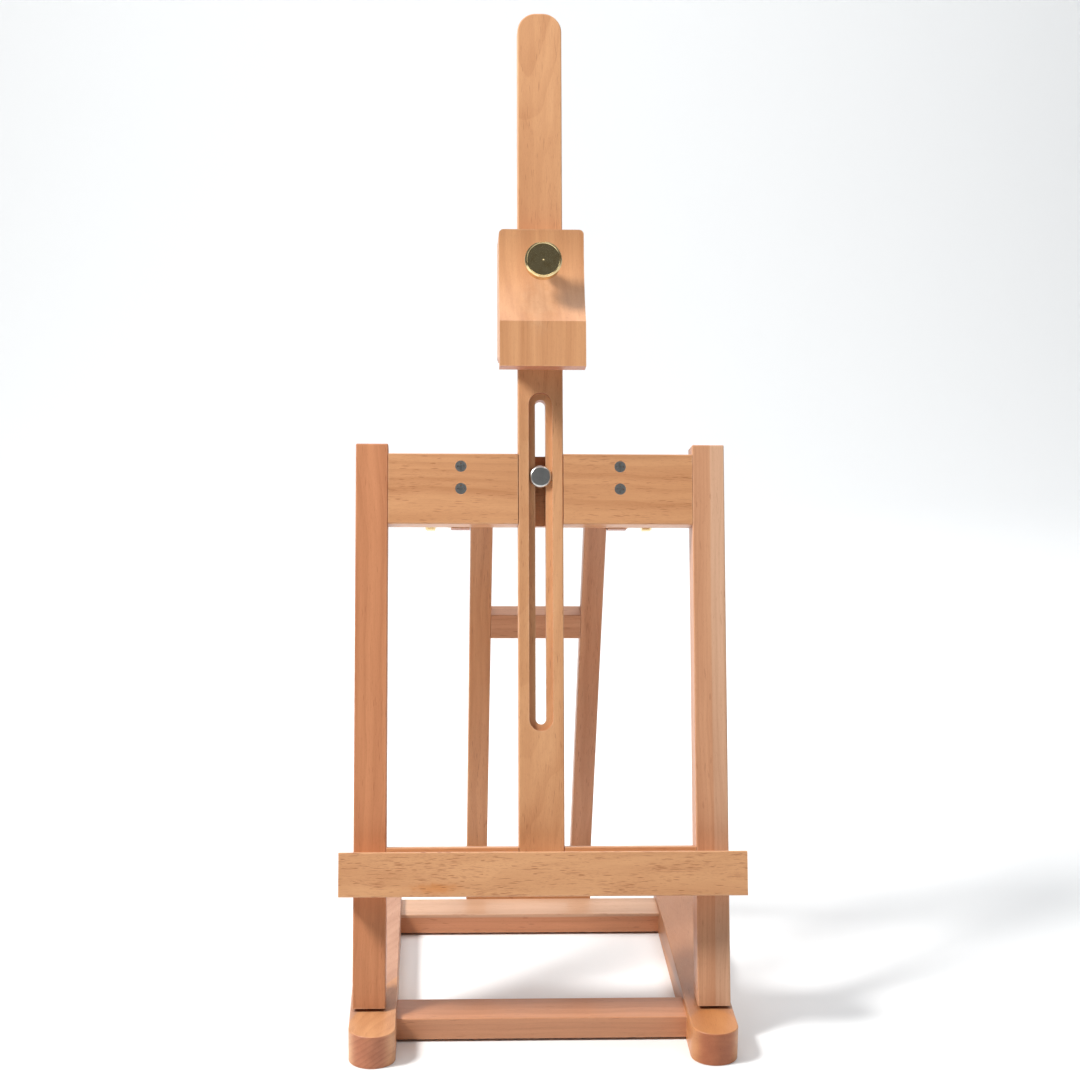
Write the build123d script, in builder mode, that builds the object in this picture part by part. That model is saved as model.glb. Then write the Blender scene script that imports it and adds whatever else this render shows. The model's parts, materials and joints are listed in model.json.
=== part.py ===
from build123d import *

import os
from math import atan2, cos, radians, sin

# Tabletop H-frame easel in oiled beech with brass fittings.
#
# Millimetres, +Z up, the artist in front at -Y, X across the easel.  The origin is on the
# table, in the middle of the easel's width and depth.  The pieces of the leaning frame are
# drawn in its own directions: u runs up along the posts, v stands out of their front face.

# ---- Base ----
base_width = 232.0
runner_width = 28.0
runner_height = 20.0
runner_length = 240.0
rail_depth = 29.0
rail_bottom = 1.5
rail_top = 15.0
front_rail_set = 36.5  # from the runners' front tips to each rail's front face
rear_rail_set = 204.0
edge_round = 0.8  # the small round on every long wooden edge

# ---- Leaning frame ----
lean = 18.0  # degrees back from upright
post_size = 20.0
post_inset = 1.5  # posts stand this far inside the runners' outer faces
post_height = 344.0
post_set = 36.0  # from the runners' front tips to the front edge of the posts' feet
foot_gap = 2.0  # room under the feet for the hinge leaves
lower_bar_low, lower_bar_high = 68.0, 96.0
top_bar_low, top_bar_high = 294.0, 338.0

# ---- Canvas tray ----
tray_width = 245.0
tray_low, tray_high = 67.5, 94.0
tray_depth = 24.0
tray_ledge = 89.0
tray_lip = 5.0
tray_screw_points = [(36.0, 80.0), (76.0, 80.0)]  # (X, u) on the right half

# ---- Mast ----
mast_width = 28.0
mast_thick = 12.0
mast_back_off = 0.3  # the mast's front face lies this far behind the posts' front faces
mast_low, mast_top = 72.0, 621.0
mast_crown = 12.0  # radius of the top corners
slot_low, slot_high = 170.5, 372.5
slot_width = 6.6
head_slot_width = 14.8
head_slot_depth = 3.4
slide_gap = 0.15  # each side of the mast in its grooves
groove_floor_gap = 0.2  # behind the mast

# ---- Canvas holder ----
holder_width = 52.8
holder_top = 476.0
holder_bend = 415.0
holder_notch = 395.0
holder_low = 387.0
holder_top_depth = 17.5
holder_lip_depth = 33.0
lip_back = 20.6
scoop_middle = (20.3, 441.0)  # (v, u) of a point on the hollow front
holder_wrap_low = 400.0
plate_thick = 6.0
holder_gap = 0.3
holder_knob_up = 451.0
plate_screw_inset = 6.0  # from the plate's sides
plate_screw_end = 9.0  # from its top and bottom
plate_drop = 2.0  # from the holder's top down to the plate's

# ---- Rear prop ----
prop_pivot_up = 302.0
prop_pivot_back = 30.0  # behind the posts' front faces
prop_foot_set = 258.0  # from the runners' front tips to where the prop meets the table
prop_thick = 12.0
leg_inner, leg_outer = 29.0, 43.0
foot_bar_high = 20.0
rung_low, rung_high = 222.0, 240.0  # above the foot's round end
cheek_inner, cheek_outer = 43.5, 55.5
cheek_round = 8.5
cheek_drop = 2.0  # from the top bar's top edge down to the cheeks' tops
cheek_top_depth = 6.0
cheek_slope_up = 12.0  # the cheeks keep their full depth this far above the pivot
cheek_screw_drops = (8.0, 22.0)  # below the top bar's top edge
prop_dowel_length = 24.0

# ---- Foot hinges ----
hinge_length = 18.0
leaf_thick = 0.8
leaf_reach = 15.0
knuckle_radius = 2.0
knuckle_offset = 2.3
knuckle_gap = 0.2
knuckle_room = 0.4  # between one leaf's edge and the other's knuckle
pin_radius = 1.0
pin_fit = 0.05

# ---- Fittings ----
bolt_radius = 3.0
bolt_fit = 0.06  # a turning knob or cheek on its bolt
bolt_head_radius = 7.0
tilt_bolt_head = 5.5
pin_chamfer = 0.2
stud_chamfer = 0.5
bolt_head_thick = 2.6
washer_radius = 7.0
washer_thick = 1.4
knob_radius = 11.4
knob_height = 17.0
knob_bore_depth = 13.0
tilt_knob_radius = 9.0
tilt_knob_height = 14.5
tilt_knob_bore = 11.0
shoe_radius = 6.0
shoe_thick = 1.6
shoe_room = 1.8  # the holder's recess is this much deeper than the shoe
insert_radius = 4.5
insert_length = 10.0
stud_room = 0.5  # round the stud ahead of its insert
bolt_end_gap = 1.0  # between a bolt's end and the bottom of its knob's bore
knob_face_share = 0.91  # of the knob's full radius
knob_neck_radius = 4.4
holder_knob_stand = 26.0  # the holder knob's foot, ahead of the posts' front faces
holder_corner = 3.0
dowel_fit = 0.05
face_gap = 0.05  # between faces that turn on each other
mast_bolt_up = 324.0

# ---- Stop, dowels and screws: (shank radius, head radius, length) ----
stop_top = 18.0
stop_gap = 0.5
stop_screw_depth = 11.0  # from the stop's front face to its screws' heads
stop_screw_x = 26.0
dowel_length = 30.0
base_dowel_radius = 3.0
base_dowel_step = 7.0
frame_dowel_radius = 4.0
frame_dowel_inset = 8.0
hinge_screw_step = 5.0
hinge_screw_back = 11.5  # from the posts' rear bottom edges
hinge_screw_size = (1.2, 2.3, 9.0)
stop_screw_size = (1.75, 3.5, 28.0)
tray_screw_size = (2.0, 4.0, 36.0)
cheek_screw_size = (1.75, 3.5, 27.0)
plate_screw_size = (1.5, 3.0, 20.0)

os.makedirs("parts", exist_ok=True)

# ---- Places worked out from the dimensions above ----
tilt = radians(lean)
post_x = base_width / 2 - post_inset - post_size / 2
post_inside = post_x - post_size / 2
runner_x = base_width / 2 - runner_width / 2
rail_half = base_width / 2 - runner_width
foot_z = runner_height + foot_gap

# The prop, seen from the side, from its pivot behind the top bar down to the table.
pivot_y_from_tip = post_set + prop_pivot_up * sin(tilt) + prop_pivot_back * cos(tilt)
pivot_z = foot_z + prop_pivot_up * cos(tilt) - prop_pivot_back * sin(tilt)
prop_angle = atan2(prop_foot_set - pivot_y_from_tip, pivot_z)
prop_length = (pivot_z - prop_thick / 2) / cos(prop_angle)
prop_end_from_tip = pivot_y_from_tip + prop_length * sin(prop_angle) + prop_thick / 2
tip_y = -prop_end_from_tip / 2
hinge_y = tip_y + post_set + post_size / cos(tilt) + knuckle_offset
hinge_z = runner_height + knuckle_radius
pivot_y = tip_y + pivot_y_from_tip

up_frame = Axis((0, 0, 0), (0, sin(tilt), cos(tilt)))
out_of_frame = Axis((0, 0, 0), (0, -cos(tilt), sin(tilt)))
up_prop = Axis((0, 0, 0), (0, -sin(prop_angle), cos(prop_angle)))


def front_plane(v=0.0):
    """Sketch plane parallel to the frame's front: sketch x is X, sketch y is u."""
    face = Plane(
        origin=(0, tip_y + post_set, foot_z),
        x_dir=(1, 0, 0),
        z_dir=(0, -cos(tilt), sin(tilt)),
    )
    return face.offset(v)


def side_plane(x):
    """Sketch plane across the frame at X = x: sketch x is v, sketch y is u, normal is -X."""
    return Plane(
        origin=(x, tip_y + post_set, foot_z),
        x_dir=(0, -cos(tilt), sin(tilt)),
        z_dir=(-1, 0, 0),
    )


def outward_plane(x, u, v):
    """Plane at a point of the frame whose normal points outward, away from X = 0."""
    y = tip_y + post_set + u * sin(tilt) - v * cos(tilt)
    z = foot_z + u * cos(tilt) + v * sin(tilt)
    direction = 1 if x > 0 else -1
    return Plane(origin=(x, y, z), x_dir=(0, sin(tilt), cos(tilt)), z_dir=(direction, 0, 0))


def prop_plane(n=0.0):
    """Sketch plane in the prop: sketch x is X, sketch y runs from the pivot up the prop."""
    face = Plane(
        origin=(0, pivot_y, pivot_z),
        x_dir=(1, 0, 0),
        z_dir=(0, -cos(prop_angle), -sin(prop_angle)),
    )
    return face.offset(n)


def save(part, name):
    part.label = name
    export_step(part, f"parts/{name}.step")
    print(name, round(part.volume, 1))


def bar(plane, x_range, y_range, depth):
    """A plain bar: a rectangle on the plane, extruded along the plane's normal."""
    x_low, x_high = x_range
    y_low, y_high = y_range
    with BuildPart(mode=Mode.PRIVATE) as solid:
        with BuildSketch(plane):
            with Locations(((x_low + x_high) / 2, (y_low + y_high) / 2)):
                Rectangle(x_high - x_low, y_high - y_low)
        extrude(amount=depth)
    return solid.part


def pegs(plane, points, radius, length):
    """Round pegs, or the holes for them, standing on the plane at the points."""
    with BuildPart(mode=Mode.PRIVATE) as group:
        with BuildSketch(plane):
            with Locations(*points):
                Circle(radius)
        extrude(amount=length)
    return group.part


def ring(plane, outer, inner, length):
    """A washer, knuckle or bush standing on the plane, round the plane's origin."""
    with BuildPart(mode=Mode.PRIVATE) as band:
        with BuildSketch(plane):
            Circle(outer)
            Circle(inner, mode=Mode.SUBTRACT)
        extrude(amount=length)
    return band.part


def screws(plane, points, size, fit=0.0):
    """Countersunk screws with cross recesses; their heads are flush with the plane.

    size is (shank radius, head radius, length).  With a fit they are the holes instead.
    """
    shank, head, length = size
    top = (Align.CENTER, Align.CENTER, Align.MAX)
    with BuildPart(plane, mode=Mode.PRIVATE) as group:
        with Locations(*points):
            Cylinder(shank + fit, length + fit, align=top)
            Cone(shank + fit, head + fit, head - shank, align=top)
            if fit == 0.0:
                for turn in (0, 90):
                    Box(
                        head * 1.3,
                        head * 0.28,
                        head * 0.45,
                        rotation=(0, 0, turn),
                        align=top,
                        mode=Mode.SUBTRACT,
                    )
    return group.part


def knob(plane, radius=knob_radius, height=knob_height, bore_depth=knob_bore_depth):
    """A turned brass clamp knob: a slim neck that stands on the plane, a broad head, a blind bore."""
    face = radius * knob_face_share
    neck_end = (knob_neck_radius, height * 0.25)
    head_edge = (radius, height * 0.58)
    hollow_middle = (0, height * 0.975)
    side = Plane(origin=plane.origin, x_dir=plane.x_dir, z_dir=-plane.y_dir)
    with BuildPart(mode=Mode.PRIVATE) as turned:
        with BuildSketch(side):
            with BuildLine():
                Polyline(hollow_middle, (0, 0), (knob_neck_radius, 0), neck_end)
                ThreePointArc(neck_end, (radius * 0.6, height * 0.42), head_edge)
                Polyline(
                    head_edge,
                    (radius, height * 0.9),
                    (radius * 0.98, height * 0.94),
                    (face, height),
                    (face * 0.98, height),
                    (face * 0.95, height * 0.985),
                    hollow_middle,
                )
            make_face()
        revolve(axis=Axis(plane.origin, plane.z_dir))
        with BuildSketch(plane):
            Circle(bolt_radius + bolt_fit)
        extrude(amount=bore_depth, mode=Mode.SUBTRACT)
    return turned.part


def both_sides(points):
    """The points and their mirror images across X = 0."""
    return [(x, y) for x, y in points] + [(-x, y) for x, y in points]


# ================= Base: two runners and two rails =================

base_dowel_points = [
    (tip_y + rail_set + rail_depth / 2 + step, (rail_bottom + rail_top) / 2)
    for rail_set in (front_rail_set, rear_rail_set)
    for step in (-base_dowel_step, base_dowel_step)
]


def base_dowels(radius):
    """The dowels that join the rails to the runners, half in each."""
    starts = [Plane.YZ.offset(side * rail_half - dowel_length / 2) for side in (-1, 1)]
    return [pegs(start, base_dowel_points, radius, dowel_length) for start in starts]


base_dowel_holes = base_dowels(base_dowel_radius + dowel_fit)

# The foot hinges' leaves are screwed down into the runners and up into the posts.
hinge_screw_y = hinge_y - knuckle_offset - hinge_screw_back
hinge_screw_points = both_sides(
    [(post_x + step, hinge_screw_y) for step in (-hinge_screw_step, hinge_screw_step)]
)
lower_leaf_top = Plane.XY.offset(runner_height + leaf_thick)
upper_leaf_face = Plane(origin=(0, 0, foot_z - leaf_thick), x_dir=(1, 0, 0), z_dir=(0, 0, -1))
upper_screw_points = [(x, -y) for x, y in hinge_screw_points]
base_screw_holes = screws(lower_leaf_top, hinge_screw_points, hinge_screw_size, dowel_fit)
post_screw_holes = screws(upper_leaf_face, upper_screw_points, hinge_screw_size, dowel_fit)

for side, name in ((-1, "left_runner"), (1, "right_runner")):
    half = runner_width / 2
    with BuildPart() as runner:
        with BuildSketch(Plane((side * runner_x, tip_y, 0))):
            with BuildLine():
                Polyline(
                    (-half, half), (-half, runner_length), (half, runner_length), (half, half)
                )
                ThreePointArc((half, half), (0, 0), (-half, half))
            make_face()
        extrude(amount=runner_height)
        fillet(runner.faces().sort_by(Axis.Z)[-1].edges(), radius=edge_round)
        fillet(runner.faces().sort_by(Axis.Z)[0].edges(), radius=edge_round / 2)
        add(base_dowel_holes, mode=Mode.SUBTRACT)
        add(base_screw_holes, mode=Mode.SUBTRACT)
    save(runner.part, name)

# The stop behind the rear rail, which the prop's foot stands against, is screwed on.
stop_front = tip_y + rear_rail_set + rail_depth
stop_screw_points = both_sides([(stop_screw_x, (rail_bottom + rail_top) / 2)])
stop_screw_plane = Plane(
    origin=(0, stop_front + stop_screw_depth, 0), x_dir=(-1, 0, 0), z_dir=(0, 1, 0)
)
stop_screw_holes = screws(stop_screw_plane, stop_screw_points, stop_screw_size, dowel_fit)
stop_counterbores = pegs(
    stop_screw_plane, stop_screw_points, stop_screw_size[1] + dowel_fit, stop_screw_depth
)


def stop_back(z):
    """The stop's back face leans with the prop and just clears it."""
    middle = tip_y + prop_foot_set - z * sin(prop_angle) / cos(prop_angle)
    return middle - prop_thick / 2 / cos(prop_angle) - stop_gap


for rail_set, name in ((front_rail_set, "front_rail"), (rear_rail_set, "rear_rail")):
    rail_y = (tip_y + rail_set, tip_y + rail_set + rail_depth)
    with BuildPart() as rail:
        add(bar(Plane.YZ.offset(-rail_half), rail_y, (rail_bottom, rail_top), 2 * rail_half))
        fillet(rail.edges().filter_by(Axis.X), radius=edge_round)
        add(base_dowel_holes, mode=Mode.SUBTRACT)
        add(stop_screw_holes, mode=Mode.SUBTRACT)
    save(rail.part, name)

with BuildPart() as dowels:
    add(base_dowels(base_dowel_radius))
save(dowels.part, "base_dowels")

with BuildPart() as prop_stop:
    with BuildSketch(Plane.YZ.offset(-leg_outer)):
        with BuildLine():
            Polyline(
                (stop_front, rail_bottom),
                (stop_front, stop_top),
                (stop_back(stop_top), stop_top),
                (stop_back(rail_bottom), rail_bottom),
                close=True,
            )
        make_face()
    extrude(amount=2 * leg_outer)
    fillet(prop_stop.edges().filter_by(Axis.X), radius=edge_round)
    add([stop_screw_holes, stop_counterbores], mode=Mode.SUBTRACT)
save(prop_stop.part, "prop_stop")

with BuildPart() as stop_screws:
    add(screws(stop_screw_plane, stop_screw_points, stop_screw_size))
save(stop_screws.part, "stop_screws")

# ================= Foot hinges =================

knuckle_third = hinge_length / 3
leaf_front = hinge_y - knuckle_offset - leaf_reach
leaf_clear = knuckle_radius + knuckle_room

for side, name in ((-1, "left"), (1, "right")):
    start_x = side * post_x - hinge_length / 2
    leaf_x = (start_x, start_x + hinge_length)
    middle_x = (start_x + knuckle_third, start_x + 2 * knuckle_third)
    pin_bore = pin_radius + pin_fit

    with BuildPart() as base_leaf:
        lower = Plane.XY.offset(runner_height)
        add(bar(lower, leaf_x, (leaf_front, hinge_y), leaf_thick))
        cut_x = (middle_x[0] - knuckle_gap, middle_x[1] + knuckle_gap)
        cut_y = (hinge_y - leaf_clear, hinge_y + leaf_clear)
        add(bar(lower, cut_x, cut_y, leaf_thick), mode=Mode.SUBTRACT)
        for x in (leaf_x[0], middle_x[1] + knuckle_gap):
            end = Plane(origin=(x, hinge_y, hinge_z), x_dir=(0, 1, 0), z_dir=(1, 0, 0))
            add(ring(end, knuckle_radius, pin_bore, knuckle_third - knuckle_gap))
        add(pegs(Plane.YZ.offset(start_x), [(hinge_y, hinge_z)], pin_bore, hinge_length),
            mode=Mode.SUBTRACT)
        add(base_screw_holes, mode=Mode.SUBTRACT)
    save(base_leaf.part, f"{name}_hinge_base_leaf")

    with BuildPart() as post_leaf:
        upper = Plane.XY.offset(foot_z - leaf_thick)
        add(bar(upper, leaf_x, (leaf_front, hinge_y - leaf_clear), leaf_thick))
        add(bar(upper, middle_x, (hinge_y - leaf_clear, hinge_y), leaf_thick))
        middle = Plane(origin=(middle_x[0], hinge_y, hinge_z), x_dir=(0, 1, 0), z_dir=(1, 0, 0))
        add(ring(middle, knuckle_radius, pin_bore, knuckle_third))
        add(pegs(Plane.YZ.offset(start_x), [(hinge_y, hinge_z)], pin_bore, hinge_length),
            mode=Mode.SUBTRACT)
        add(post_screw_holes, mode=Mode.SUBTRACT)
    save(post_leaf.part, f"{name}_hinge_post_leaf")

    with BuildPart() as hinge_pin:
        add(pegs(Plane.YZ.offset(start_x), [(hinge_y, hinge_z)], pin_radius, hinge_length))
        chamfer(hinge_pin.edges(), length=pin_chamfer)
    save(hinge_pin.part, f"{name}_hinge_pin")

with BuildPart() as lower_screws:
    add(screws(lower_leaf_top, hinge_screw_points, hinge_screw_size))
save(lower_screws.part, "hinge_base_screws")

with BuildPart() as upper_screws:
    add(screws(upper_leaf_face, upper_screw_points, hinge_screw_size))
save(upper_screws.part, "hinge_post_screws")

# ================= Leaning frame: posts, cross bars and tray =================

frame_dowel_points = [
    (-post_size / 2, u)
    for low, high in ((lower_bar_low, lower_bar_high), (top_bar_low, top_bar_high))
    for u in (low + frame_dowel_inset, high - frame_dowel_inset)
]


def frame_dowels(radius):
    """The dowels that join the cross bars to the posts."""
    starts = [side_plane(side * post_inside + dowel_length / 2) for side in (-1, 1)]
    return [pegs(start, frame_dowel_points, radius, dowel_length) for start in starts]


frame_dowel_holes = frame_dowels(frame_dowel_radius + dowel_fit)
foot_rise = post_size * sin(tilt) / cos(tilt)

for side, name in ((-1, "left_post"), (1, "right_post")):
    with BuildPart() as post:
        with BuildSketch(side_plane(side * post_x + post_size / 2)):
            with BuildLine():
                Polyline(
                    (0, 0),
                    (0, post_height),
                    (-post_size, post_height),
                    (-post_size, foot_rise),
                    close=True,
                )
            make_face()
        extrude(amount=post_size)
        fillet(post.edges().filter_by(up_frame), radius=edge_round)
        fillet(post.faces().sort_by(up_frame)[-1].edges(), radius=edge_round)
        add(frame_dowel_holes, mode=Mode.SUBTRACT)
        add(post_screw_holes, mode=Mode.SUBTRACT)
    save(post.part, name)

# The mast lies in a groove across the front of both bars.
groove_half = mast_width / 2 + slide_gap
mast_back = mast_back_off + mast_thick
groove_depth = mast_back + groove_floor_gap
tray_screw_plane = front_plane(-post_size)
back_of_bars = Plane(
    origin=tray_screw_plane.origin, x_dir=(-1, 0, 0), z_dir=-tray_screw_plane.z_dir
)
tray_screw_holes = screws(back_of_bars, both_sides(tray_screw_points), tray_screw_size, dowel_fit)
cheek_x = (cheek_inner + cheek_outer) / 2
cheek_screw_points = both_sides([(cheek_x, top_bar_high - drop) for drop in cheek_screw_drops])
cheek_screw_holes = screws(front_plane(), cheek_screw_points, cheek_screw_size, dowel_fit)
mast_bolt_hole = pegs(
    front_plane(-post_size), [(0, mast_bolt_up)], bolt_radius + dowel_fit, post_size
)

for low, high, name in (
    (lower_bar_low, lower_bar_high, "lower_crossbar"),
    (top_bar_low, top_bar_high, "top_crossbar"),
):
    with BuildPart() as crossbar:
        add(bar(front_plane(-post_size), (-post_inside, post_inside), (low, high), post_size))
        fillet(crossbar.edges().filter_by(Axis.X), radius=edge_round)
        groove = bar(front_plane(-groove_depth), (-groove_half, groove_half), (low, high), post_size)
        add(groove, mode=Mode.SUBTRACT)
        add(frame_dowel_holes, mode=Mode.SUBTRACT)
        add([tray_screw_holes, cheek_screw_holes, mast_bolt_hole], mode=Mode.SUBTRACT)
    save(crossbar.part, name)

with BuildPart() as pins:
    add(frame_dowels(frame_dowel_radius))
save(pins.part, "frame_dowels")

with BuildPart() as tray:
    with BuildSketch(side_plane(tray_width / 2)):
        with BuildLine():
            Polyline(
                (0, tray_low),
                (tray_depth, tray_low),
                (tray_depth, tray_high),
                (tray_depth - tray_lip, tray_high),
                (tray_depth - tray_lip, tray_ledge),
                (0, tray_ledge),
                close=True,
            )
        make_face()
    extrude(amount=tray_width)
    fillet(tray.edges().filter_by(Axis.X), radius=edge_round)
    add(tray_screw_holes, mode=Mode.SUBTRACT)
save(tray.part, "tray")

with BuildPart() as tray_fixings:
    add(screws(back_of_bars, both_sides(tray_screw_points), tray_screw_size))
save(tray_fixings.part, "tray_screws")

# The cheeks stand behind the top bar and carry the prop.
for side, name in ((-1, "left_cheek"), (1, "right_cheek")):
    with BuildPart() as cheek:
        with BuildSketch(side_plane(side * cheek_x + (cheek_outer - cheek_inner) / 2)):
            with BuildLine():
                Polyline(
                    (-prop_pivot_back, prop_pivot_up - cheek_round),
                    (-post_size, prop_pivot_up - cheek_round),
                    (-post_size, top_bar_high - cheek_drop),
                    (-post_size - cheek_top_depth, top_bar_high - cheek_drop),
                    (-prop_pivot_back - cheek_round, prop_pivot_up + cheek_slope_up),
                    (-prop_pivot_back - cheek_round, prop_pivot_up),
                )
                ThreePointArc(
                    (-prop_pivot_back - cheek_round, prop_pivot_up),
                    (
                        -prop_pivot_back - cheek_round * cos(radians(45)),
                        prop_pivot_up - cheek_round * sin(radians(45)),
                    ),
                    (-prop_pivot_back, prop_pivot_up - cheek_round),
                )
            make_face()
        extrude(amount=cheek_outer - cheek_inner)
        outer_face = cheek.faces().sort_by(Axis.X)[-1 if side > 0 else 0]
        fillet(outer_face.edges(), radius=edge_round)
        bore_start = side_plane(side * cheek_x + (cheek_outer - cheek_inner) / 2)
        bore = pegs(
            bore_start,
            [(-prop_pivot_back, prop_pivot_up)],
            bolt_radius + bolt_fit,
            cheek_outer - cheek_inner,
        )
        add(bore, mode=Mode.SUBTRACT)
        add(cheek_screw_holes, mode=Mode.SUBTRACT)
    save(cheek.part, name)

with BuildPart() as cheek_fixings:
    add(screws(front_plane(), cheek_screw_points, cheek_screw_size))
save(cheek_fixings.part, "cheek_screws")

# ================= Mast and its clamp =================

mast_front = -mast_back_off
slot_middle = (slot_low + slot_high) / 2
slot_span = slot_high - slot_low

with BuildPart() as mast:
    add(bar(front_plane(-mast_back), (-mast_width / 2, mast_width / 2), (mast_low, mast_top),
            mast_thick))
    top_corners = mast.edges().filter_by(out_of_frame)
    fillet(top_corners.group_by(up_frame)[-1], radius=mast_crown)
    fillet(mast.faces().sort_by(out_of_frame)[-1].edges(), radius=edge_round)
    fillet(mast.faces().sort_by(out_of_frame)[0].edges(), radius=edge_round)
    with BuildSketch(front_plane(-mast_back)):
        with Locations((0, slot_middle)):
            SlotOverall(slot_span, slot_width, rotation=90)
    extrude(amount=mast_thick, mode=Mode.SUBTRACT)
    with BuildSketch(front_plane(mast_front - head_slot_depth)):
        with Locations((0, slot_middle)):
            SlotOverall(slot_span + head_slot_width - slot_width, head_slot_width, rotation=90)
    extrude(amount=head_slot_depth, mode=Mode.SUBTRACT)
save(mast.part, "mast")

bolt_seat = mast_front - head_slot_depth + face_gap
mast_bolt_end = -post_size - washer_thick - knob_bore_depth + bolt_end_gap
with BuildPart() as mast_bolt:
    add(pegs(front_plane(mast_bolt_end), [(0, mast_bolt_up)], bolt_radius,
             bolt_seat - mast_bolt_end))
    with BuildSketch(front_plane(bolt_seat)):
        with Locations((0, mast_bolt_up)):
            Circle(bolt_head_radius)
    extrude(amount=bolt_head_thick)
    fillet(mast_bolt.faces().sort_by(out_of_frame)[-1].edges(), radius=bolt_head_thick * 0.7)
save(mast_bolt.part, "mast_bolt")

bar_back = front_plane(-post_size)
behind = Plane(
    origin=bar_back.from_local_coords((0, mast_bolt_up, 0)),
    x_dir=(-1, 0, 0),
    z_dir=-bar_back.z_dir,
)
with BuildPart() as mast_washer:
    add(ring(behind, washer_radius, bolt_radius + dowel_fit, washer_thick))
save(mast_washer.part, "mast_washer")

with BuildPart() as mast_knob:
    add(knob(behind.offset(washer_thick + face_gap)))
save(mast_knob.part, "mast_knob")

# ================= Canvas holder =================

channel_half = mast_width / 2 + holder_gap
plate_front = -mast_back - holder_gap
knob_point = (0, holder_knob_up)
recess_depth = shoe_thick + shoe_room

insert_plane = front_plane(recess_depth)
insert_hole = pegs(insert_plane, [knob_point], insert_radius + dowel_fit, insert_length)
stud_hole = pegs(front_plane(), [knob_point], bolt_radius + stud_room, holder_lip_depth)
shoe_hole = pegs(front_plane(), [knob_point], shoe_radius + holder_gap, recess_depth)
plate_low, plate_high = holder_wrap_low, holder_top - plate_drop
plate_back = plate_front - plate_thick
plate_screw_x = holder_width / 2 - plate_screw_inset
plate_screw_points = both_sides(
    [(plate_screw_x, plate_low + plate_screw_end), (plate_screw_x, plate_high - plate_screw_end)]
)
plate_back_plane = Plane(
    origin=front_plane(plate_back).origin, x_dir=(-1, 0, 0), z_dir=-front_plane().z_dir
)
plate_screw_holes = screws(plate_back_plane, plate_screw_points, plate_screw_size, dowel_fit)

with BuildPart() as canvas_holder:
    with BuildSketch(side_plane(holder_width / 2)):
        with BuildLine():
            Polyline(
                (holder_top_depth, holder_top),
                (plate_front, holder_top),
                (plate_front, holder_wrap_low),
                (0, holder_wrap_low),
                (0, holder_notch),
                (lip_back, holder_notch),
                (lip_back, holder_low),
                (holder_lip_depth, holder_low),
                (holder_lip_depth, holder_bend),
            )
            ThreePointArc(
                (holder_lip_depth, holder_bend),
                scoop_middle,
                (holder_top_depth, holder_top),
            )
        make_face()
    extrude(amount=holder_width)
    holder_top_corners = canvas_holder.edges().filter_by(out_of_frame)
    fillet(holder_top_corners.group_by(up_frame)[-1], radius=holder_corner)
    channel = bar(
        front_plane(plate_front),
        (-channel_half, channel_half),
        (holder_low, holder_top),
        -plate_front,
    )
    add([channel, shoe_hole, stud_hole, insert_hole, plate_screw_holes], mode=Mode.SUBTRACT)
save(canvas_holder.part, "canvas_holder")

with BuildPart() as holder_back_plate:
    add(bar(front_plane(plate_back), (-holder_width / 2, holder_width / 2),
            (plate_low, plate_high), plate_thick))
    fillet(holder_back_plate.faces().sort_by(out_of_frame)[0].edges(), radius=edge_round)
    add(plate_screw_holes, mode=Mode.SUBTRACT)
save(holder_back_plate.part, "holder_back_plate")

with BuildPart() as plate_screws:
    add(screws(plate_back_plane, plate_screw_points, plate_screw_size))
save(plate_screws.part, "holder_plate_screws")

at_knob = Plane(
    origin=insert_plane.from_local_coords((*knob_point, 0)),
    x_dir=insert_plane.x_dir,
    z_dir=insert_plane.z_dir,
)
with BuildPart() as knob_insert:
    add(ring(at_knob, insert_radius, bolt_radius + bolt_fit, insert_length))
save(knob_insert.part, "holder_insert")

shoe_front = -mast_back_off + face_gap + shoe_thick
with BuildPart() as pressure_shoe:
    add(pegs(front_plane(-mast_back_off + face_gap), [knob_point], shoe_radius, shoe_thick))
    chamfer(pressure_shoe.edges(), length=pin_chamfer)
save(pressure_shoe.part, "pressure_shoe")

knob_foot = at_knob.offset(holder_knob_stand - recess_depth)
with BuildPart() as knob_head:
    add(knob(knob_foot))
save(knob_head.part, "holder_knob")

stud_end = holder_knob_stand + knob_bore_depth - bolt_end_gap
with BuildPart() as knob_stud:
    add(pegs(front_plane(shoe_front + face_gap), [knob_point], bolt_radius,
             stud_end - shoe_front - face_gap))
    chamfer(knob_stud.edges(), length=stud_chamfer)
save(knob_stud.part, "holder_knob_stud")

# ================= Rear prop =================

prop_half = prop_thick / 2
leg_foot = -prop_length + foot_bar_high - prop_half
leg_x = (leg_inner + leg_outer) / 2
leg_dowel_plane = Plane(
    origin=prop_plane().from_local_coords((0, leg_foot - prop_dowel_length / 2, 0)),
    x_dir=(1, 0, 0),
    z_dir=prop_plane().y_dir,
)
rung_up = -prop_length + (rung_low + rung_high) / 2


def prop_dowels(radius):
    """The dowels that join the legs to the foot bar and the rung to the legs."""
    groups = [pegs(leg_dowel_plane, [(-leg_x, 0), (leg_x, 0)], radius, prop_dowel_length)]
    for side in (-1, 1):
        start = Plane(
            origin=prop_plane().from_local_coords(
                (side * leg_inner - prop_dowel_length / 2, rung_up, 0)
            ),
            x_dir=prop_plane().y_dir,
            z_dir=(1, 0, 0),
        )
        groups.append(pegs(start, [(0, 0)], radius, prop_dowel_length))
    return groups


prop_dowel_holes = prop_dowels(base_dowel_radius + dowel_fit)

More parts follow.
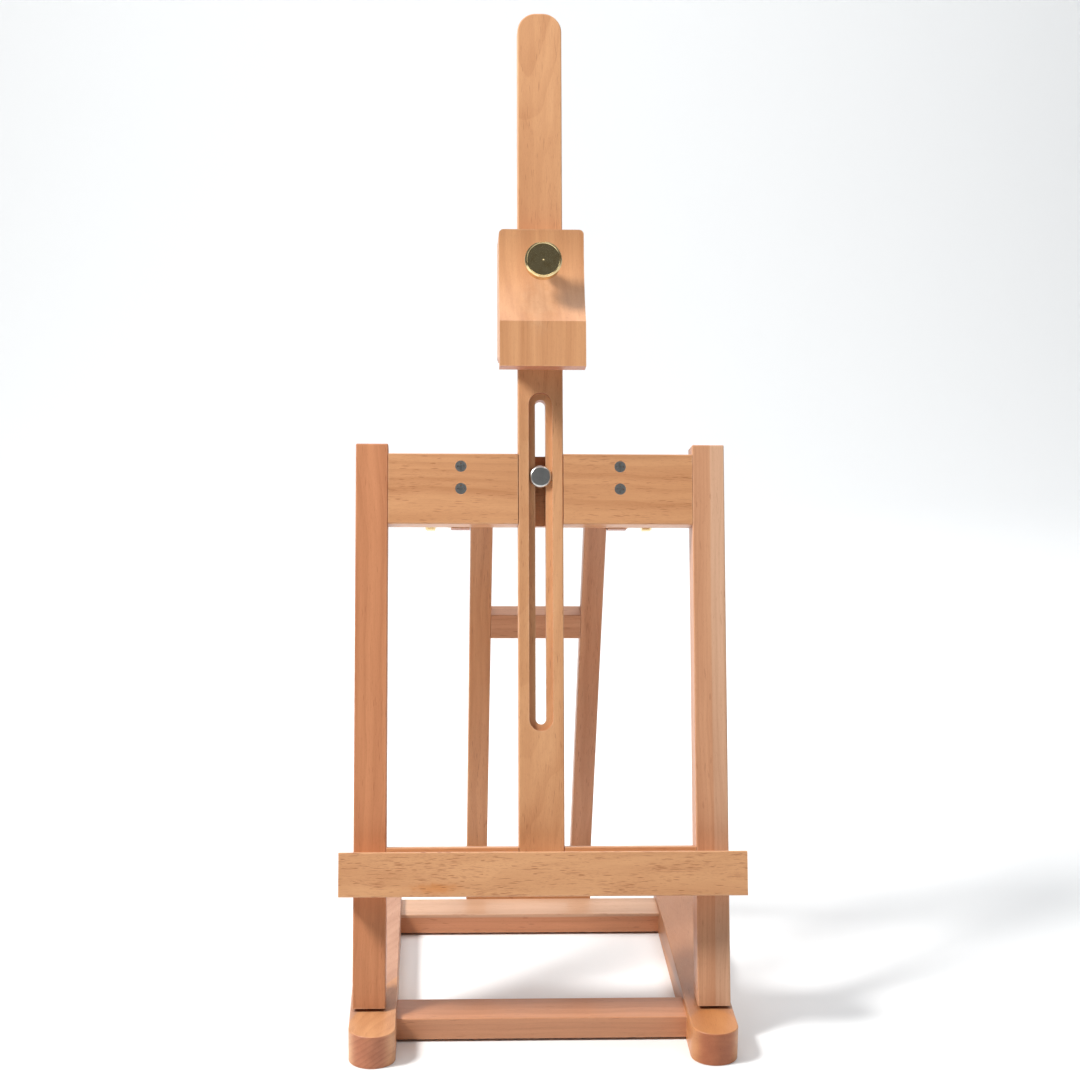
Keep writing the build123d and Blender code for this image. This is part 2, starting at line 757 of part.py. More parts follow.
for side, name in ((-1, "left_prop_leg"), (1, "right_prop_leg")):
    with BuildPart() as leg:
        with BuildSketch(
            Plane(
                origin=(side * leg_x + (leg_outer - leg_inner) / 2, pivot_y, pivot_z),
                x_dir=prop_plane().z_dir,
                z_dir=(-1, 0, 0),
            )
        ):
            with BuildLine():
                Polyline((-prop_half, 0), (-prop_half, leg_foot), (prop_half, leg_foot),
                         (prop_half, 0))
                ThreePointArc((prop_half, 0), (0, prop_half), (-prop_half, 0))
            make_face()
        extrude(amount=leg_outer - leg_inner)
        fillet(leg.edges().filter_by(up_prop), radius=edge_round)
        bore_start = side_plane(side * leg_x + (leg_outer - leg_inner) / 2)
        bore = pegs(
            bore_start,
            [(-prop_pivot_back, prop_pivot_up)],
            bolt_radius + dowel_fit,
            leg_outer - leg_inner,
        )
        add(bore, mode=Mode.SUBTRACT)
        add(prop_dowel_holes, mode=Mode.SUBTRACT)
    save(leg.part, name)

with BuildPart() as foot_bar:
    with BuildSketch(
        Plane(
            origin=(leg_outer, pivot_y, pivot_z),
            x_dir=prop_plane().z_dir,
            z_dir=(-1, 0, 0),
        )
    ):
        with BuildLine():
            Polyline(
                (prop_half, -prop_length),
                (prop_half, leg_foot),
                (-prop_half, leg_foot),
                (-prop_half, -prop_length),
            )
            ThreePointArc(
                (-prop_half, -prop_length),
                (0, -prop_length - prop_half),
                (prop_half, -prop_length),
            )
        make_face()
    extrude(amount=2 * leg_outer)
    add(prop_dowel_holes, mode=Mode.SUBTRACT)
save(foot_bar.part, "prop_foot_bar")

with BuildPart() as rung:
    add(bar(prop_plane(-prop_half), (-leg_inner, leg_inner),
            (-prop_length + rung_low, -prop_length + rung_high), prop_thick))
    fillet(rung.edges().filter_by(Axis.X), radius=edge_round)
    add(prop_dowel_holes, mode=Mode.SUBTRACT)
save(rung.part, "prop_rung")

with BuildPart() as prop_pegs:
    add(prop_dowels(base_dowel_radius))
save(prop_pegs.part, "prop_dowels")

# Carriage bolts through the legs and cheeks, with a washer and a knob on each.
bolt_grip = cheek_outer - leg_inner
with BuildPart() as tilt_bolts:
    for side in (-1, 1):
        seat = outward_plane(side * leg_inner, prop_pivot_up, -prop_pivot_back)
        add(pegs(seat, [(0, 0)], bolt_radius, bolt_grip + washer_thick + tilt_knob_bore - bolt_end_gap))
        add(pegs(seat, [(0, 0)], tilt_bolt_head, -bolt_head_thick))
save(tilt_bolts.part, "tilt_bolts")

with BuildPart() as tilt_washers:
    for side in (-1, 1):
        outside = outward_plane(side * cheek_outer, prop_pivot_up, -prop_pivot_back)
        add(ring(outside.offset(face_gap), washer_radius, bolt_radius + dowel_fit, washer_thick))
save(tilt_washers.part, "tilt_washers")

for side, name in ((-1, "left_tilt_knob"), (1, "right_tilt_knob")):
    outside = outward_plane(side * cheek_outer, prop_pivot_up, -prop_pivot_back)
    knob_seat = outside.offset(washer_thick + 2 * face_gap)
    with BuildPart() as tilt_knob:
        add(knob(knob_seat, tilt_knob_radius, tilt_knob_height, tilt_knob_bore))
    save(tilt_knob.part, name)
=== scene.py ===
import json
from math import cos, pi, sin

import bpy
from mathutils import Matrix, Vector


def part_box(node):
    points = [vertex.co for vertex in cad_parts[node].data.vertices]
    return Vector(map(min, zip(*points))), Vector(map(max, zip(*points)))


# A tabletop easel in oiled beech with brass fittings.  Every visible piece is a CAD node of the
# frame; this script gives each one its material, and adds the studio and the camera.

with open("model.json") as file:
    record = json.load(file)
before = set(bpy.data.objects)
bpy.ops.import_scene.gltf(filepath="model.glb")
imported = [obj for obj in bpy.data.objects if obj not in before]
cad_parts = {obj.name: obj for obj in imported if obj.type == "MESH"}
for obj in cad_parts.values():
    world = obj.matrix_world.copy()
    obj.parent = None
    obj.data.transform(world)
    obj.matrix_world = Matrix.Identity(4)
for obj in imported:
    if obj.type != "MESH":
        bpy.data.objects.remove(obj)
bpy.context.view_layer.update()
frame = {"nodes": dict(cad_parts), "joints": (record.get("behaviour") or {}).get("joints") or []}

scene = bpy.context.scene
joints = {joint["name"]: joint for joint in frame["joints"]}
MM = 0.001

ACROSS = Vector((1, 0, 0))
DEEP = Vector((0, 1, 0))
UP = Vector((0, 0, 1))
UP_MAST = Vector(joints["mast_slide"]["axis"])
INTO = UP_MAST.cross(ACROSS)  # into the leaning frame, from its front face


def middle(name):
    low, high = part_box(name)
    return (low + high) / 2


DOWN_PROP = (middle("prop_foot_bar") - Vector(joints["prop_swing"]["pos_m"])).normalized()
DOWN_PROP.x = 0


# ---------------------------------------------------------------- small node helpers

class Tree:
    """Adds shader nodes to a node tree; a plain number or an output socket can feed any input."""

    def __init__(self, tree):
        self.nodes = tree.nodes
        self.links = tree.links

    def feed(self, socket, value):
        if isinstance(value, bpy.types.NodeSocket):
            self.links.new(value, socket)
        elif value is not None:
            socket.default_value = value

    def add(self, kind, inputs=(), **settings):
        node = self.nodes.new("ShaderNode" + kind)
        for name, value in settings.items():
            setattr(node, name, value)
        for key, value in dict(inputs).items():
            self.feed(node.inputs[key], value)
        return node

    def math(self, operation, a, b=None, c=None, clamp=False):
        node = self.add("Math", operation=operation, use_clamp=clamp)
        for socket, value in zip(node.inputs, (a, b, c)):
            self.feed(socket, value)
        return node.outputs[0]

    def span(self, value, low, high, to_low=0.0, to_high=1.0):
        """Maps low..high smoothly to to_low..to_high."""
        inputs = {0: value, 1: low, 2: high, 3: to_low, 4: to_high}
        return self.add("MapRange", inputs, interpolation_type="SMOOTHSTEP").outputs[0]

    def mix(self, amount, a, b, blend="MIX"):
        node = self.add("Mix", data_type="RGBA", blend_type=blend, clamp_result=False)
        self.feed(node.inputs[0], amount)
        self.feed(node.inputs[6], a)
        self.feed(node.inputs[7], b)
        return node.outputs[2]

    def vector(self, x, y, z):
        return self.add("CombineXYZ", {0: x, 1: y, 2: z}).outputs[0]

    def noise(self, vector, scale=1.0, detail=2.0, roughness=0.5, distortion=0.0):
        inputs = {"Vector": vector, "Scale": scale, "Detail": detail,
                  "Roughness": roughness, "Distortion": distortion}
        return self.add("TexNoise", inputs).outputs[0]

    def bump(self, height, strength, distance):
        inputs = {"Height": height, "Strength": strength, "Distance": distance}
        return self.add("Bump", inputs).outputs[0]


def new_material(name):
    material = bpy.data.materials.new(name)
    material.use_nodes = True
    material.node_tree.nodes.clear()
    return material, Tree(material.node_tree)


def finish_material(tree, shader):
    output = tree.add("OutputMaterial")
    tree.links.new(shader.outputs[0], output.inputs[0])


def dress(node_name, material):
    """Puts the material in every slot of a CAD node."""
    mesh = frame["nodes"][node_name].data
    if not mesh.materials:
        mesh.materials.append(material)
    for index in range(len(mesh.materials)):
        mesh.materials[index] = material


# ---------------------------------------------------------------- beech

RING_WIDTH = 2.7 * MM
FLECK = Vector((6.5, 0.95, 1.7)) * MM  # along the grain, round the rings, across the rings
SMALL_FLECK = Vector((2.8, 0.42, 0.9)) * MM
SAP_EDGE = 0.4 * MM  # half of the width over which heartwood turns into sapwood
WANDER = 9.0 * MM  # how far the rings stray from true circles
SAP_WANDER = 1.5 * MM  # and how far the sapwood's edge does
ARC_RADIUS = 90.0 * MM  # turns an angle round the pith into a length
FLECK_COLUMN = 1.7  # in fleck widths: flecks nearer than this are shifted much alike

# What these features multiply the wood's colour by.
PORE_TINT = (0.62, 0.48, 0.40, 1.0)
FLECK_TINT = (0.50, 0.31, 0.20, 1.0)
END_TINT = (0.75, 0.53, 0.51, 1.0)
END_RING_TINT = (0.52, 0.34, 0.31, 1.0)

# Paler wood along the edges: worn oil, and a painted edge highlight.
WORN_AND_HIGHLIT_WOOD = (0.78, 0.50, 0.32, 1.0)
WORN_AND_HIGHLIT_WIDTH = 1.4 * MM
GRAIN_DEPTH = 0.06 * MM


def stretched(tree, point, shift, scales):
    """Where a noise is read: the point, scaled along the grain, across the rings and round them."""
    along, outward, around = point
    return tree.vector(tree.math("MULTIPLY_ADD", along, scales[0], shift),
                       tree.math("MULTIPLY", outward, scales[1]),
                       tree.math("MULTIPLY", around, scales[2]))


def growth_rings(tree, outward, shift):
    """Pale at first, darker and sharper at the year's end, and stronger in some years."""
    years = tree.math("DIVIDE", outward, RING_WIDTH)
    year = tree.math("FRACT", years)
    late = tree.math("MULTIPLY", tree.span(year, 0.35, 0.97), tree.span(year, 1.0, 0.96))
    weight = tree.noise(tree.vector(shift, tree.math("MULTIPLY", years, 0.45), 0.0), 1.0, 1.0)
    return tree.math("MULTIPLY", late, tree.span(weight, 0.25, 0.7, 0.25, 1.0))


def ray_flecks(tree, point, size, shift, share, radius):
    """Beech rays: short dark dashes along the grain on a tangential face, wider ones elsewhere."""
    along, outward, around = point
    column = tree.vector(tree.math("DIVIDE", around, size.y * FLECK_COLUMN),
                         tree.math("DIVIDE", outward, size.z * FLECK_COLUMN), shift)
    stagger = tree.math("MULTIPLY_ADD", tree.noise(column, 1.0, 0.0), 5.0, shift)
    place = tree.vector(
        tree.math("ADD", tree.math("DIVIDE", along, size.x), stagger),
        tree.math("DIVIDE", around, size.y),
        tree.math("DIVIDE", outward, size.z),
    )
    cells = tree.add("TexVoronoi", {"Vector": place, "Scale": 1.0, "Randomness": 1.0})
    chance = tree.add("SeparateColor", {0: cells.outputs["Color"]}).outputs[0]
    body = tree.span(cells.outputs["Distance"], radius, radius * 0.45)
    return tree.math("MULTIPLY", body, tree.math("LESS_THAN", chance, share))


def beech_group():
    """The grain of beech.  Its Vector has the tree's pith as the X axis; further than Sap from the
    pith lies the sapwood, tinted by Tint, which on the runners also paints shade and on the rear rail
    sheen."""
    group = bpy.data.node_groups.new("beech_grain", "ShaderNodeTree")
    face = group.interface
    for name, kind in (("Vector", "Vector"), ("End", "Float"), ("Seed", "Float"),
                       ("Rings", "Float"), ("Flecks", "Float"), ("Sap", "Float"),
                       ("Tint", "Color"), ("Pale", "Color"), ("Deep", "Color")):
        face.new_socket(name, in_out="INPUT", socket_type="NodeSocket" + kind)
    for name, kind in (("Color", "Color"), ("Roughness", "Float"), ("Height", "Float")):
        face.new_socket(name, in_out="OUTPUT", socket_type="NodeSocket" + kind)
    tree = Tree(group)
    given = group.nodes.new("NodeGroupInput").outputs
    result = group.nodes.new("NodeGroupOutput").inputs

    split = tree.add("SeparateXYZ", {0: given["Vector"]}).outputs
    shift = tree.math("MULTIPLY", given["Seed"], 7.31)

    # The tree did not grow straight: its rings wander along the board.
    slow = stretched(tree, split, shift, (9.0, 22.0, 22.0))
    wander = tree.math("SUBTRACT", tree.noise(slow, 1.0, 2.0), 0.5)
    away = tree.add("VectorMath", {0: tree.vector(0.0, split[1], split[2])}, operation="LENGTH")
    outward = tree.math("MULTIPLY_ADD", wander, WANDER, away.outputs["Value"])
    angle = tree.math("ARCTAN2", split[2], split[1])
    around = tree.math("MULTIPLY", angle, ARC_RADIUS)
    point = (split[0], outward, around)
    rings = growth_rings(tree, outward, shift)

    # Broad bands of warmer and paler wood, then fine fibres and the pores among them.
    broad = tree.noise(stretched(tree, point, shift, (3.5, 150.0, 60.0)), 1.0, 3.0, 0.55)
    fibre = tree.noise(stretched(tree, point, shift, (60.0, 1900.0, 1900.0)), 1.0, 3.0, 0.6)
    dots = tree.noise(stretched(tree, point, shift, (420.0, 4200.0, 4200.0)), 1.0, 1.0)
    pores = tree.span(dots, 0.60, 0.74)

    crowd = tree.noise(stretched(tree, point, shift, (24.0, 80.0, 80.0)), 1.0, 1.0)
    share = tree.math("MULTIPLY", tree.span(crowd, 0.35, 0.66, 0.05, 0.50), given["Flecks"])
    large = ray_flecks(tree, point, FLECK, shift, share, 0.46)
    small = ray_flecks(tree, point, SMALL_FLECK, shift, share, 0.50)
    flecks = tree.math("MAXIMUM", large, tree.math("MULTIPLY", small, 0.5))
    flecks = tree.math("MULTIPLY", flecks, tree.math("MULTIPLY_ADD", given["Flecks"], 0.60, 0.15))

    # Colour, from the palest early wood to the darkest fleck.
    ringed = tree.math("MULTIPLY", rings, given["Rings"])
    depth = tree.math("MULTIPLY_ADD", ringed, 0.30, tree.span(broad, 0.25, 0.78, 0.0, 0.62))
    depth = tree.math("MULTIPLY_ADD", tree.math("SUBTRACT", fibre, 0.5), 0.55, depth, clamp=True)
    sap_place = tree.math("MULTIPLY_ADD", wander, SAP_WANDER, away.outputs["Value"])
    sap = tree.span(tree.math("SUBTRACT", sap_place, given["Sap"]), -SAP_EDGE, SAP_EDGE)
    color = tree.mix(depth, given["Pale"], given["Deep"])
    color = tree.mix(sap, color, given["Tint"], "MULTIPLY")
    color = tree.mix(tree.math("MULTIPLY", pores, 0.30), color, PORE_TINT, "MULTIPLY")
    color = tree.mix(flecks, color, FLECK_TINT, "MULTIPLY")
    # End grain drinks more oil, so it is darker, and its rings are darker still.
    end_tone = tree.mix(tree.math("MULTIPLY", ringed, 0.4), END_TINT, END_RING_TINT)
    color = tree.mix(given["End"], color, tree.mix(1.0, color, end_tone, "MULTIPLY"))
    tree.links.new(color, result["Color"])

    rough = tree.math("MULTIPLY_ADD", fibre, 0.16, 0.40)
    rough = tree.math("MULTIPLY_ADD", flecks, 0.10, rough)
    rough = tree.math("MULTIPLY_ADD", given["End"], 0.10, rough)
    tree.links.new(rough, result["Roughness"])

    height = tree.math("MULTIPLY_ADD", rings, 0.25, tree.math("MULTIPLY", fibre, 0.5))
    height = tree.math("MULTIPLY_ADD", flecks, -0.15, height)
    height = tree.math("MULTIPLY_ADD", pores, -0.6, height)
    tree.links.new(height, result["Height"])
    return group


BEECH = beech_group()

# Pale and deep wood of each kind of board.
PINK = ((0.650, 0.335, 0.185, 1.0), (0.455, 0.192, 0.088, 1.0))
HONEY = ((0.660, 0.332, 0.155, 1.0), (0.470, 0.196, 0.076, 1.0))
ROSY = ((0.610, 0.275, 0.135, 1.0), (0.410, 0.155, 0.066, 1.0))
RUSSET = ((0.600, 0.250, 0.112, 1.0), (0.402, 0.142, 0.055, 1.0))
AMBER = ((0.562, 0.238, 0.082, 1.0), (0.405, 0.142, 0.041, 1.0))
SANDY = ((0.685, 0.360, 0.174, 1.0), (0.485, 0.210, 0.086, 1.0))

# What sapwood does to those colours.  The dull tint also paints shade on the runners' upper, rear
# parts, and the bright tint paints sheen on the rear rail's top.
SAPWOOD = (1.06, 1.24, 1.44, 1.0)
SAPWOOD_AND_PAINTED_SHADE = (0.81, 0.86, 1.16, 1.0)
SAPWOOD_AND_PAINTED_SHEEN = (1.01, 1.46, 2.05, 1.0)


def tint_oval(tree, color, spot, grain, tinted_oval):
    """Tints a ragged oval that lies along the grain of a board that faces out."""
    place, half_long, half_wide, tint = tinted_oval
    offset = tree.add("VectorMath", {0: spot, 1: place}, operation="SUBTRACT").outputs[0]
    parts = []
    for reach in (grain / half_long, grain.cross(INTO) / half_wide):
        part = tree.add("VectorMath", {0: offset, 1: reach}, operation="DOT_PRODUCT")
        parts.append(part.outputs["Value"])
    away = tree.add("VectorMath", {0: tree.vector(*parts, 0.0)}, operation="LENGTH")
    ragged = tree.math("MULTIPLY_ADD", tree.noise(spot, 260.0, 3.0), 0.9, -0.45)
    away = tree.math("ADD", away.outputs["Value"], ragged)
    return tree.mix(tree.span(away, 1.0, 0.1), color, tint, "MULTIPLY")


def beech(name, grain, bark, tones, rings=0.8, flecks=1.0, seed=0, distance=75.0, slope=0.0,
          sap=500.0, tint=SAPWOOD, tinted_oval=None):
    """Beech for one piece, cut with its length along grain and its bark side towards bark.

    In mm: distance is from the tree's pith to the piece's middle, sap from that middle out to the
    sapwood, tinted by tint, which on the runners also paints shade and on the rear rail sheen.
    Slope is how much the grain rises through the piece.  The last argument is a tinted oval's
    place, half its length, half its width and its tint: a streak in the tray's wood, and painted
    sheen on the canvas holder.
    """
    grain = grain.normalized()
    side = grain.cross(bark).normalized()
    out = side.cross(grain)
    grain = (grain + out * slope).normalized()
    out = side.cross(grain)
    turn = Matrix((grain, out, side))
    centre = turn @ middle(name)
    place = Vector((0, distance * MM, 0)) - Vector((0, centre.y, centre.z))

    material, tree = new_material("beech_" + name)
    spot = tree.add("TexCoord")
    board = tree.add("Mapping", {"Vector": spot.outputs["Object"], "Location": place,
                                 "Rotation": turn.to_euler()}, vector_type="POINT")
    facing = tree.add("VectorMath", {0: spot.outputs["Normal"], 1: grain},
                      operation="DOT_PRODUCT").outputs["Value"]
    end = tree.span(tree.math("ABSOLUTE", facing), 0.45, 0.90)
    grown = tree.add("Group")
    grown.node_tree = BEECH
    for key, value in (("Vector", board.outputs[0]), ("End", end), ("Seed", float(seed)),
                       ("Rings", rings), ("Flecks", flecks), ("Sap", (distance + sap) * MM),
                       ("Tint", tint), ("Pale", tones[0]), ("Deep", tones[1])):
        tree.feed(grown.inputs[key], value)

    color = grown.outputs["Color"]
    # A tinted oval: on the tray a streak in the wood, on the canvas holder a painted sheen.
    if tinted_oval:
        color = tint_oval(tree, color, spot.outputs["Object"], grain, tinted_oval)

    # Handled edges: the oil has worn thin, in patches, along the corners, and the same paler patches
    # paint the highlight that eased edges catch.
    soft = tree.add("Bevel", {"Radius": WORN_AND_HIGHLIT_WIDTH}, samples=4)
    bent = tree.add("VectorMath", {0: soft.outputs[0], 1: tree.add("NewGeometry").outputs["Normal"]},
                    operation="DOT_PRODUCT").outputs["Value"]
    patchy = tree.noise(spot.outputs["Object"], 160.0, 3.0, 0.6)
    worn_and_highlit = tree.math("MULTIPLY", tree.span(bent, 0.995, 0.86), tree.span(patchy, 0.35, 0.62))
    color = tree.mix(tree.math("MULTIPLY", worn_and_highlit, 0.45), color, WORN_AND_HIGHLIT_WOOD)
    rough = tree.math("MULTIPLY_ADD", worn_and_highlit, -0.10, grown.outputs["Roughness"])
    smear = tree.noise(spot.outputs["Object"], 38.0, 4.0, 0.6)
    rough = tree.math("MULTIPLY_ADD", smear, 0.12, rough)

    shader = tree.add("BsdfPrincipled", {
        "Base Color": color, "Roughness": rough, "IOR": 1.46, "Coat Weight": 0.45,
        "Coat Roughness": 0.34,
        "Normal": tree.bump(grown.outputs["Height"], 0.35, GRAIN_DEPTH)})
    finish_material(tree, shader)
    return material


TRAY_STREAK = (middle("tray") - ACROSS * 65 * MM - UP_MAST * 8 * MM, 22 * MM, 4.5 * MM,
               (0.96, 0.77, 0.54, 1.0))
# Painted sheen: a paler, pinker oval on the canvas holder's lower scoop, which faces up to the light.
HOLDER_PAINTED_SHEEN = (middle("canvas_holder") - ACROSS * 2 * MM - UP_MAST * 5 * MM, 26 * MM, 13 * MM,
                 (1.04, 1.15, 1.36, 1.0))

WOOD = {
    # Both runners: the dull sapwood tint on their upper, rear parts is painted shade.
    "left_runner": (DEEP, Vector((-0.55, 0, 0.83)), HONEY,
                    dict(rings=0.9, flecks=0.3, seed=3, slope=-0.2, sap=-3.5, tint=SAPWOOD_AND_PAINTED_SHADE)),
    "right_runner": (DEEP, UP, AMBER,
                     dict(rings=0.2, flecks=0.3, seed=8, slope=-0.1, sap=1.5, tint=SAPWOOD_AND_PAINTED_SHADE)),
    "front_rail": (ACROSS, Vector((0, -0.4, 0.9)), ROSY, dict(flecks=0.4, seed=12)),
    # The rear rail's pale sapwood top is also painted sheen.
    "rear_rail": (ACROSS, UP, RUSSET, dict(flecks=0.4, seed=17, sap=5.8, tint=SAPWOOD_AND_PAINTED_SHEEN)),
    "prop_stop": (ACROSS, Vector((0, 0.3, 0.9)), HONEY, dict(flecks=0.5, seed=21)),
    "left_post": (UP_MAST, INTO + ACROSS * 0.5, RUSSET, dict(flecks=0.3, seed=25)),
    "right_post": (UP_MAST, INTO * 0.2 + ACROSS, PINK, dict(rings=0.7, flecks=0.2, seed=31, sap=-0.3)),
    "lower_crossbar": (ACROSS, INTO, HONEY, dict(flecks=0.6, seed=36)),
    "top_crossbar": (ACROSS, INTO + UP * 0.3, HONEY, dict(flecks=0.7, seed=41)),
    "tray": (ACROSS, INTO + UP * 0.12, SANDY,
             dict(rings=0.5, flecks=1.1, seed=46, slope=0.04, tinted_oval=TRAY_STREAK)),
    "left_cheek": (UP_MAST, ACROSS, HONEY, dict(flecks=0.5, seed=52)),
    "right_cheek": (UP_MAST, ACROSS, HONEY, dict(flecks=0.5, seed=57)),
    "mast": (UP_MAST, INTO + ACROSS * 0.15, SANDY, dict(rings=0.7, flecks=0.5, seed=61, slope=0.05)),
    "canvas_holder": (UP_MAST, INTO * 0.4 + ACROSS, HONEY,
                      dict(rings=0.3, flecks=0.1, seed=66, tinted_oval=HOLDER_PAINTED_SHEEN)),
    "holder_back_plate": (UP_MAST, INTO, HONEY, dict(flecks=0.5, seed=70)),
    "left_prop_leg": (DOWN_PROP, INTO + ACROSS * 0.4, HONEY, dict(flecks=0.5, seed=75)),
    "right_prop_leg": (DOWN_PROP, INTO - ACROSS * 0.3, PINK, dict(flecks=0.5, seed=80)),
    "prop_foot_bar": (ACROSS, INTO, HONEY, dict(flecks=0.6, seed=85)),
    "prop_rung": (ACROSS, INTO, PINK, dict(flecks=0.6, seed=90)),
    "base_dowels": (ACROSS, UP, PINK, dict(seed=95)),
    "frame_dowels": (ACROSS, UP, PINK, dict(seed=97)),
    "prop_dowels": (ACROSS, UP, PINK, dict(seed=99)),
}

for name, (grain, bark, tones, more) in WOOD.items():
    dress(name, beech(name, grain, bark, tones, **more))


# ---------------------------------------------------------------- brass and steel

GROOVE_DEPTH = 0.02 * MM
GROOVES_START = 0.4 * MM  # the grooves fade in from this radius,
GROOVES_FULL = 2.5 * MM  # and are whole from this one on


def turned_metal(name, axis, point, color, dark_tone, rough):
    """Lathe-turned metal: fine rings round the axis through the point, and a little tarnish, which on
    brass is darkened further to paint the dark surroundings that its faces mirror.
    """
    material, tree = new_material(name)
    spot = tree.add("TexCoord").outputs["Object"]
    offset = tree.add("VectorMath", {0: spot, 1: point}, operation="SUBTRACT").outputs[0]
    along = tree.add("VectorMath", {0: offset, 1: axis}, operation="DOT_PRODUCT").outputs["Value"]
    radius = tree.add("VectorMath", {0: offset, 1: axis}, operation="CROSS_PRODUCT").outputs[0]
    radius = tree.add("VectorMath", {0: radius}, operation="LENGTH").outputs["Value"]
    groove_place = tree.vector(tree.math("MULTIPLY", radius, 4500.0),
                               tree.math("MULTIPLY", along, 4500.0), 0.0)
    grooves = tree.math("MULTIPLY", tree.noise(groove_place, 1.0, 2.0, 0.7),
                        tree.span(radius, GROOVES_START, GROOVES_FULL))
    cloud = tree.noise(spot, 220.0, 4.0, 0.6)
    speck = tree.noise(spot, 1400.0, 2.0, 0.6)
    # Darker patches: tarnish, and on brass also a painted dark reflection.
    dark_patches = tree.math("MULTIPLY", tree.span(cloud, 0.42, 0.75), 0.65)
    tint = tree.mix(dark_patches, color, dark_tone)
    roughness = tree.math("MULTIPLY_ADD", cloud, 0.16, rough - 0.08)
    roughness = tree.math("MULTIPLY_ADD", tree.span(speck, 0.55, 0.75), 0.05, roughness)
    height = tree.math("MULTIPLY_ADD", speck, 0.02, grooves)
    shader = tree.add("BsdfPrincipled", {
        "Base Color": tint, "Metallic": 1.0, "Roughness": roughness,
        "Normal": tree.bump(height, 0.05, GROOVE_DEPTH)})
    finish_material(tree, shader)
    return material


# The brass tarnish is dark enough to also paint the dark reflection on the knobs' faces.
BRASS = (0.80, 0.64, 0.34, 1.0)
BRASS_TARNISH_AND_DARK_REFLECTION = (0.50, 0.34, 0.13, 1.0)
ZINC = (0.66, 0.66, 0.64, 1.0)
ZINC_TARNISH = (0.42, 0.42, 0.41, 1.0)

TURNED = {
    "holder_knob": "holder_knob_turn",
    "mast_knob": "mast_knob_turn",
    "left_tilt_knob": "left_tilt_knob_turn",
    "right_tilt_knob": "right_tilt_knob_turn",
}
for name, joint in TURNED.items():
    axis = Vector(joints[joint]["axis"])
    point = Vector(joints[joint]["pos_m"])
    dress(name, turned_metal("brass_" + name, axis, point, BRASS, BRASS_TARNISH_AND_DARK_REFLECTION, 0.20))

BRASS_PIECES = {
    "left_hinge_base_leaf": UP, "right_hinge_base_leaf": UP, "left_hinge_post_leaf": UP,
    "right_hinge_post_leaf": UP, "left_hinge_pin": ACROSS, "right_hinge_pin": ACROSS,
    "hinge_base_screws": UP, "hinge_post_screws": UP, "holder_insert": INTO,
    "pressure_shoe": INTO, "mast_washer": INTO, "tilt_washers": ACROSS,
}
for name, axis in BRASS_PIECES.items():
    dress(name, turned_metal("brass_" + name, axis, middle(name), BRASS, BRASS_TARNISH_AND_DARK_REFLECTION, 0.30))

STEEL_PIECES = {
    "stop_screws": DEEP, "tray_screws": INTO, "cheek_screws": INTO, "holder_plate_screws": INTO,
    "mast_bolt": INTO, "holder_knob_stud": INTO, "tilt_bolts": ACROSS,
}
for name, axis in STEEL_PIECES.items():
    dress(name, turned_metal("steel_" + name, axis, middle(name), ZINC, ZINC_TARNISH, 0.32))


# ---------------------------------------------------------------- studio

SWEEP_HALF = 5.0
SWEEP_FRONT = -7.0
SWEEP_BACK = 1.6
SWEEP_RADIUS = 1.0
SWEEP_TOP = 3.0
ARC_STEPS = 24


def studio_sweep():
    """A seamless pale floor that curves up into a backdrop."""
    line = [(SWEEP_FRONT, 0.0), (SWEEP_BACK, 0.0)]
    for step in range(1, ARC_STEPS + 1):
        turn = pi / 2 * step / ARC_STEPS
        line.append((SWEEP_BACK + SWEEP_RADIUS * sin(turn), SWEEP_RADIUS * (1 - cos(turn))))
    line.append((SWEEP_BACK + SWEEP_RADIUS, SWEEP_TOP))
    vertices = [(side * SWEEP_HALF, y, z) for y, z in line for side in (-1, 1)]
    faces = [(2 * i, 2 * i + 1, 2 * i + 3, 2 * i + 2) for i in range(len(line) - 1)]
    mesh = bpy.data.meshes.new("studio_sweep")
    mesh.from_pydata(vertices, [], faces)
    for polygon in mesh.polygons:
        polygon.use_smooth = True
    sweep = bpy.data.objects.new("studio_sweep", mesh)
    scene.collection.objects.link(sweep)
    material, tree = new_material("studio_paper")
    shader = tree.add("BsdfPrincipled", {"Base Color": (0.885, 0.90, 0.91, 1.0),
                                         "Roughness": 0.9, "Specular IOR Level": 0.2})
    finish_material(tree, shader)
    mesh.materials.append(material)


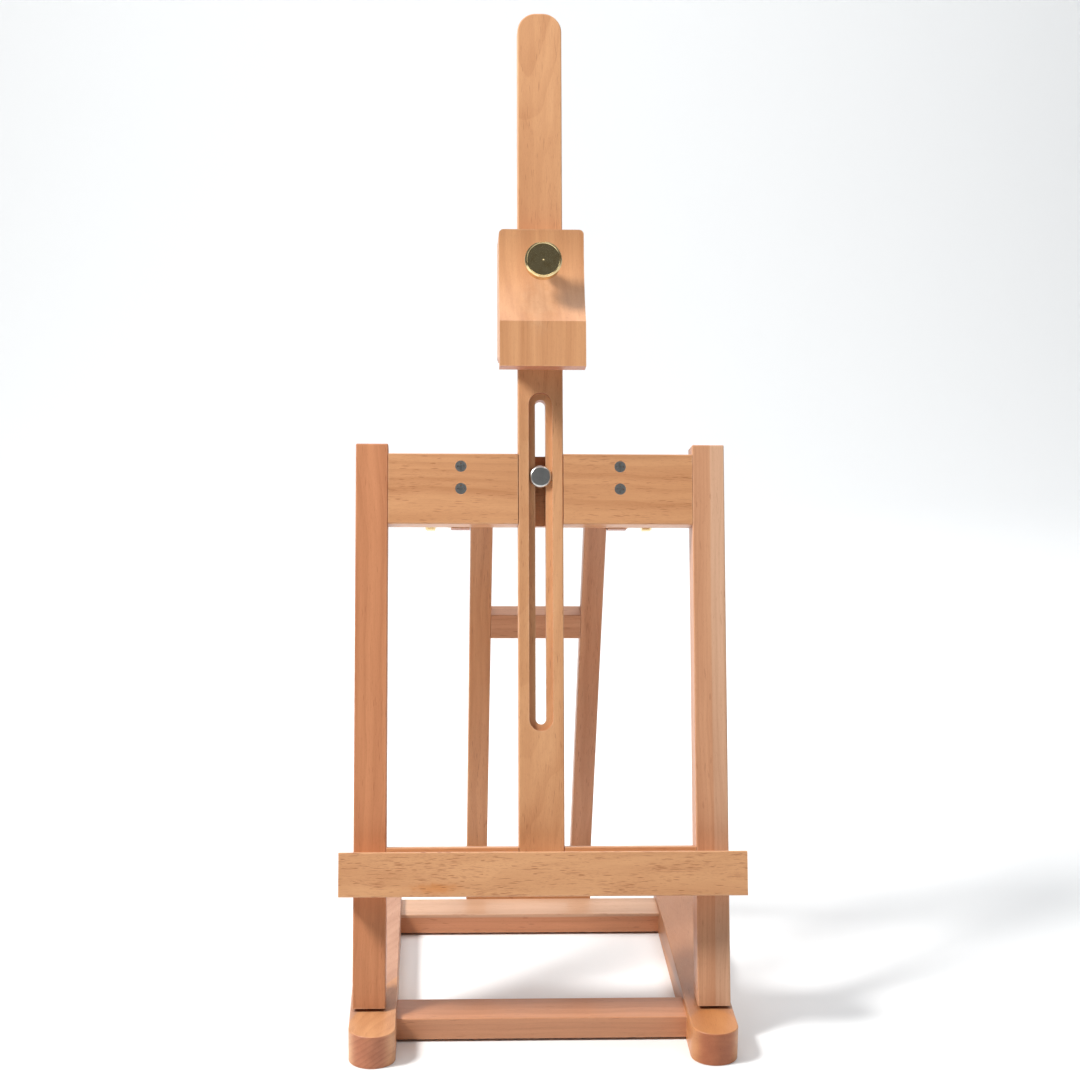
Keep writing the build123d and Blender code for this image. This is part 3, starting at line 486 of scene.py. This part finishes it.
def soft_light(name, place, aim, size, power, color=(1.0, 1.0, 1.0)):
    lamp = bpy.data.lights.new(name, "AREA")
    lamp.shape = "DISK"
    lamp.size = size
    lamp.energy = power
    lamp.color = color
    light = bpy.data.objects.new(name, lamp)
    scene.collection.objects.link(light)
    light.location = place
    light.rotation_euler = (Vector(aim) - Vector(place)).to_track_quat("-Z", "Y").to_euler()


studio_sweep()

AIM = Vector((0, 0, 0.25))
KEY_FROM = Vector((-0.65, -0.24, 0.74)).normalized()
soft_light("key_light", AIM + KEY_FROM * 2.2, AIM, 0.55, 58.0, (1.0, 0.985, 0.96))
soft_light("top_light", (0.2, 0.3, 2.3), AIM, 2.4, 35.0)
soft_light("side_light", (2.2, -0.3, 0.7), AIM, 1.8, 6.0)
soft_light("backdrop_light", (0, 0.9, 2.2), (0, 2.6, 0.9), 1.6, 15.0)

world = bpy.data.worlds.new("studio_air")
world.use_nodes = True
world.node_tree.nodes["Background"].inputs[0].default_value = (0.93, 0.96, 1.0, 1.0)
world.node_tree.nodes["Background"].inputs[1].default_value = 0.12
scene.world = world

scene.view_settings.view_transform = "Standard"

# ---------------------------------------------------------------- camera

FEET = Vector((0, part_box("left_runner")[0].y, 0))  # the runners' front tips, on the table
CAMERA_FROM_FEET = Vector((-0.0651, -1.1685, 0.5612))
YAW = 0.0499  # in radians, to the right of straight ahead
PITCH = 0.2050  # in radians, down
ROLL = 0.0125  # in radians
LENS = 71.21  # in mm, as is the sensor
SENSOR = 36.0


def add_camera():
    ahead = Vector((sin(YAW) * cos(PITCH), cos(YAW) * cos(PITCH), -sin(PITCH)))
    right = Vector((cos(YAW), -sin(YAW), 0))
    up = right.cross(ahead)
    rolled_right = right * cos(ROLL) + up * sin(ROLL)
    rolled_up = up * cos(ROLL) - right * sin(ROLL)
    lens = bpy.data.cameras.new("camera")
    lens.lens = LENS
    lens.sensor_width = SENSOR
    camera = bpy.data.objects.new("camera", lens)
    scene.collection.objects.link(camera)
    turn = Matrix((rolled_right, rolled_up, -ahead)).transposed().to_4x4()
    camera.matrix_world = Matrix.Translation(FEET + CAMERA_FROM_FEET) @ turn
    scene.camera = camera


add_camera()
